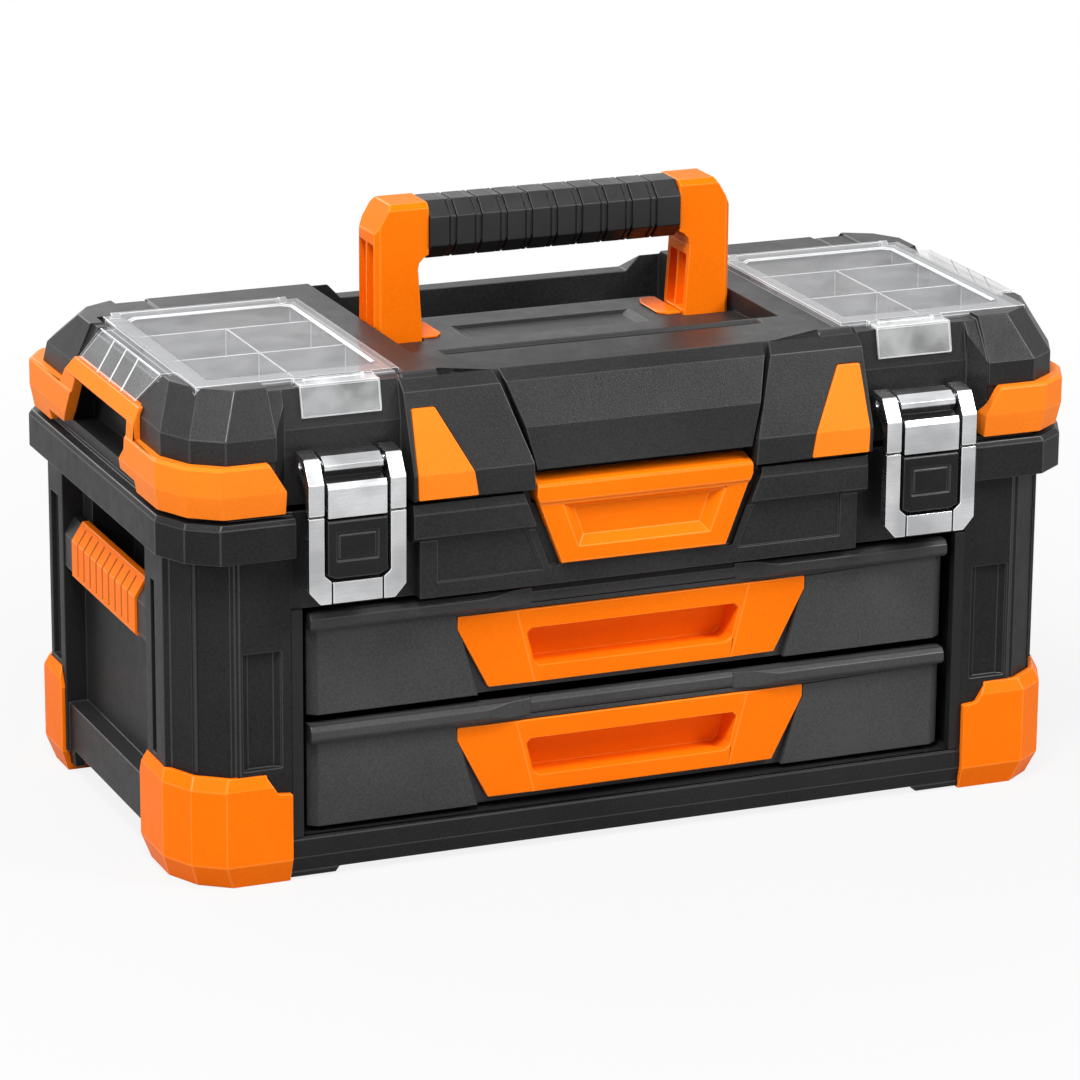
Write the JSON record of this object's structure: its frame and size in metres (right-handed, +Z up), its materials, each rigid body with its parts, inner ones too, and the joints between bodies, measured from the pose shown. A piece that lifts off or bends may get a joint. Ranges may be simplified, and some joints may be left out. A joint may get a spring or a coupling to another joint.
{
  "type": "tool box",
  "caption": "Portable tool box with two drawers, a top compartment, a folding handle and clear lift-out organisers in its hinged lid.",
  "frame": {"origin": "middle of the box between the soles of its feet, on the ground", "axes": "+X to the right along the length of the box seen from its front, the drawers open towards -Y, +Z up"},
  "size_m": [0.568, 0.3162, 0.3585],
  "materials": {
    "charcoal_plastic": "fine-textured charcoal moulded plastic",
    "orange_plastic": "satin orange moulded plastic",
    "silver_metal": "satin silver",
    "steel": "plain drawn steel",
    "rubber": "segmented soft rubber",
    "clear_plastic": "clear moulded plastic"
  },
  "bodies": {
    "case": {"case_shell": "charcoal_plastic", "bay_side_left": "charcoal_plastic", "bay_side_right": "charcoal_plastic", "bay_shelf": "charcoal_plastic", "front_fascia": "charcoal_plastic", "middle_plate": "orange_plastic", "foot_front_left": "orange_plastic", "foot_front_right": "orange_plastic", "foot_rear_left": "orange_plastic", "foot_rear_right": "orange_plastic", "side_grip_left": "orange_plastic", "side_grip_right": "orange_plastic", "grip_bar_left": "charcoal_plastic", "grip_bar_right": "charcoal_plastic", "latch_keeper_left": "charcoal_plastic", "latch_keeper_right": "charcoal_plastic", "hinge_leaf_left": "charcoal_plastic", "hinge_leaf_right": "charcoal_plastic", "hinge_pin_left": "steel", "hinge_pin_right": "steel"},
    "lid": {"lid_shell": "charcoal_plastic", "lid_trim_left": "orange_plastic", "lid_trim_right": "orange_plastic", "lid_accent_left": "orange_plastic", "lid_accent_right": "orange_plastic", "latch_mount_left": "silver_metal", "latch_mount_right": "silver_metal", "latch_pin_left": "steel", "latch_pin_right": "steel", "lid_hinge_left": "charcoal_plastic", "lid_hinge_right": "charcoal_plastic", "pivot_block_left": "orange_plastic", "pivot_block_right": "orange_plastic", "handle_pin_left": "steel", "handle_pin_right": "steel"},
    "handle": {"handle_post_left": "orange_plastic", "handle_post_right": "orange_plastic", "handle_core": "steel", "handle_grip": "rubber"},
    "upper_drawer": {"upper_drawer_tray": "charcoal_plastic", "upper_drawer_front": "charcoal_plastic", "upper_drawer_bezel": "orange_plastic"},
    "lower_drawer": {"lower_drawer_tray": "charcoal_plastic", "lower_drawer_front": "charcoal_plastic", "lower_drawer_bezel": "orange_plastic"},
    "latch_left": {"latch_lever_left": "silver_metal", "latch_pad_left": "charcoal_plastic"},
    "organiser_left": {"organiser_tray_left": "clear_plastic", "cover_pin_left": "clear_plastic"},
    "cover_left": {"organiser_cover_left": "clear_plastic"},
    "clasp_left": {"organiser_clasp_left": "clear_plastic"},
    "latch_right": {"latch_lever_right": "silver_metal", "latch_pad_right": "charcoal_plastic"},
    "organiser_right": {"organiser_tray_right": "clear_plastic", "cover_pin_right": "clear_plastic"},
    "cover_right": {"organiser_cover_right": "clear_plastic"},
    "clasp_right": {"organiser_clasp_right": "clear_plastic"}
  },
  "joints": [
    {"name": "lid_hinge", "type": "hinge", "parent": "case", "child": "lid", "pos_m": [0, 0.1534, 0.221], "axis": [-1, 0, 0], "range_deg": [0, 100]},
    {"name": "handle_hinge", "type": "hinge", "parent": "lid", "child": "handle", "pos_m": [0, 0.002, 0.268], "axis": [-1, 0, 0], "range_deg": [0, 90]},
    {"name": "upper_drawer_slide", "type": "slide", "parent": "case", "child": "upper_drawer", "axis": [0, -1, 0], "range_m": [0, 0.18]},
    {"name": "lower_drawer_slide", "type": "slide", "parent": "case", "child": "lower_drawer", "axis": [0, -1, 0], "range_m": [0, 0.18]},
    {"name": "latch_left_hinge", "type": "hinge", "parent": "lid", "child": "latch_left", "pos_m": [-0.1787, -0.143, 0.2475], "axis": [-1, 0, 0], "range_deg": [0, 110]},
    {"name": "latch_right_hinge", "type": "hinge", "parent": "lid", "child": "latch_right", "pos_m": [0.1787, -0.143, 0.2475], "axis": [-1, 0, 0], "range_deg": [0, 110]},
    {"name": "organiser_left_lift", "type": "slide", "parent": "lid", "child": "organiser_left", "axis": [0, 0, 1], "range_m": [0, 0.06]},
    {"name": "cover_left_hinge", "type": "hinge", "parent": "organiser_left", "child": "cover_left", "pos_m": [-0.1985, 0.0566, 0.289], "axis": [-1, 0, 0], "range_deg": [0, 100]},
    {"name": "clasp_left_hinge", "type": "hinge", "parent": "cover_left", "child": "clasp_left", "pos_m": [-0.1787, -0.1186, 0.2894], "axis": [-1, 0, 0], "range_deg": [0, 90]},
    {"name": "organiser_right_lift", "type": "slide", "parent": "lid", "child": "organiser_right", "axis": [0, 0, 1], "range_m": [0, 0.06]},
    {"name": "cover_right_hinge", "type": "hinge", "parent": "organiser_right", "child": "cover_right", "pos_m": [0.1985, 0.0566, 0.289], "axis": [-1, 0, 0], "range_deg": [0, 100]},
    {"name": "clasp_right_hinge", "type": "hinge", "parent": "cover_right", "child": "clasp_right", "pos_m": [0.1787, -0.1186, 0.2894], "axis": [-1, 0, 0], "range_deg": [0, 90]}
  ]
}
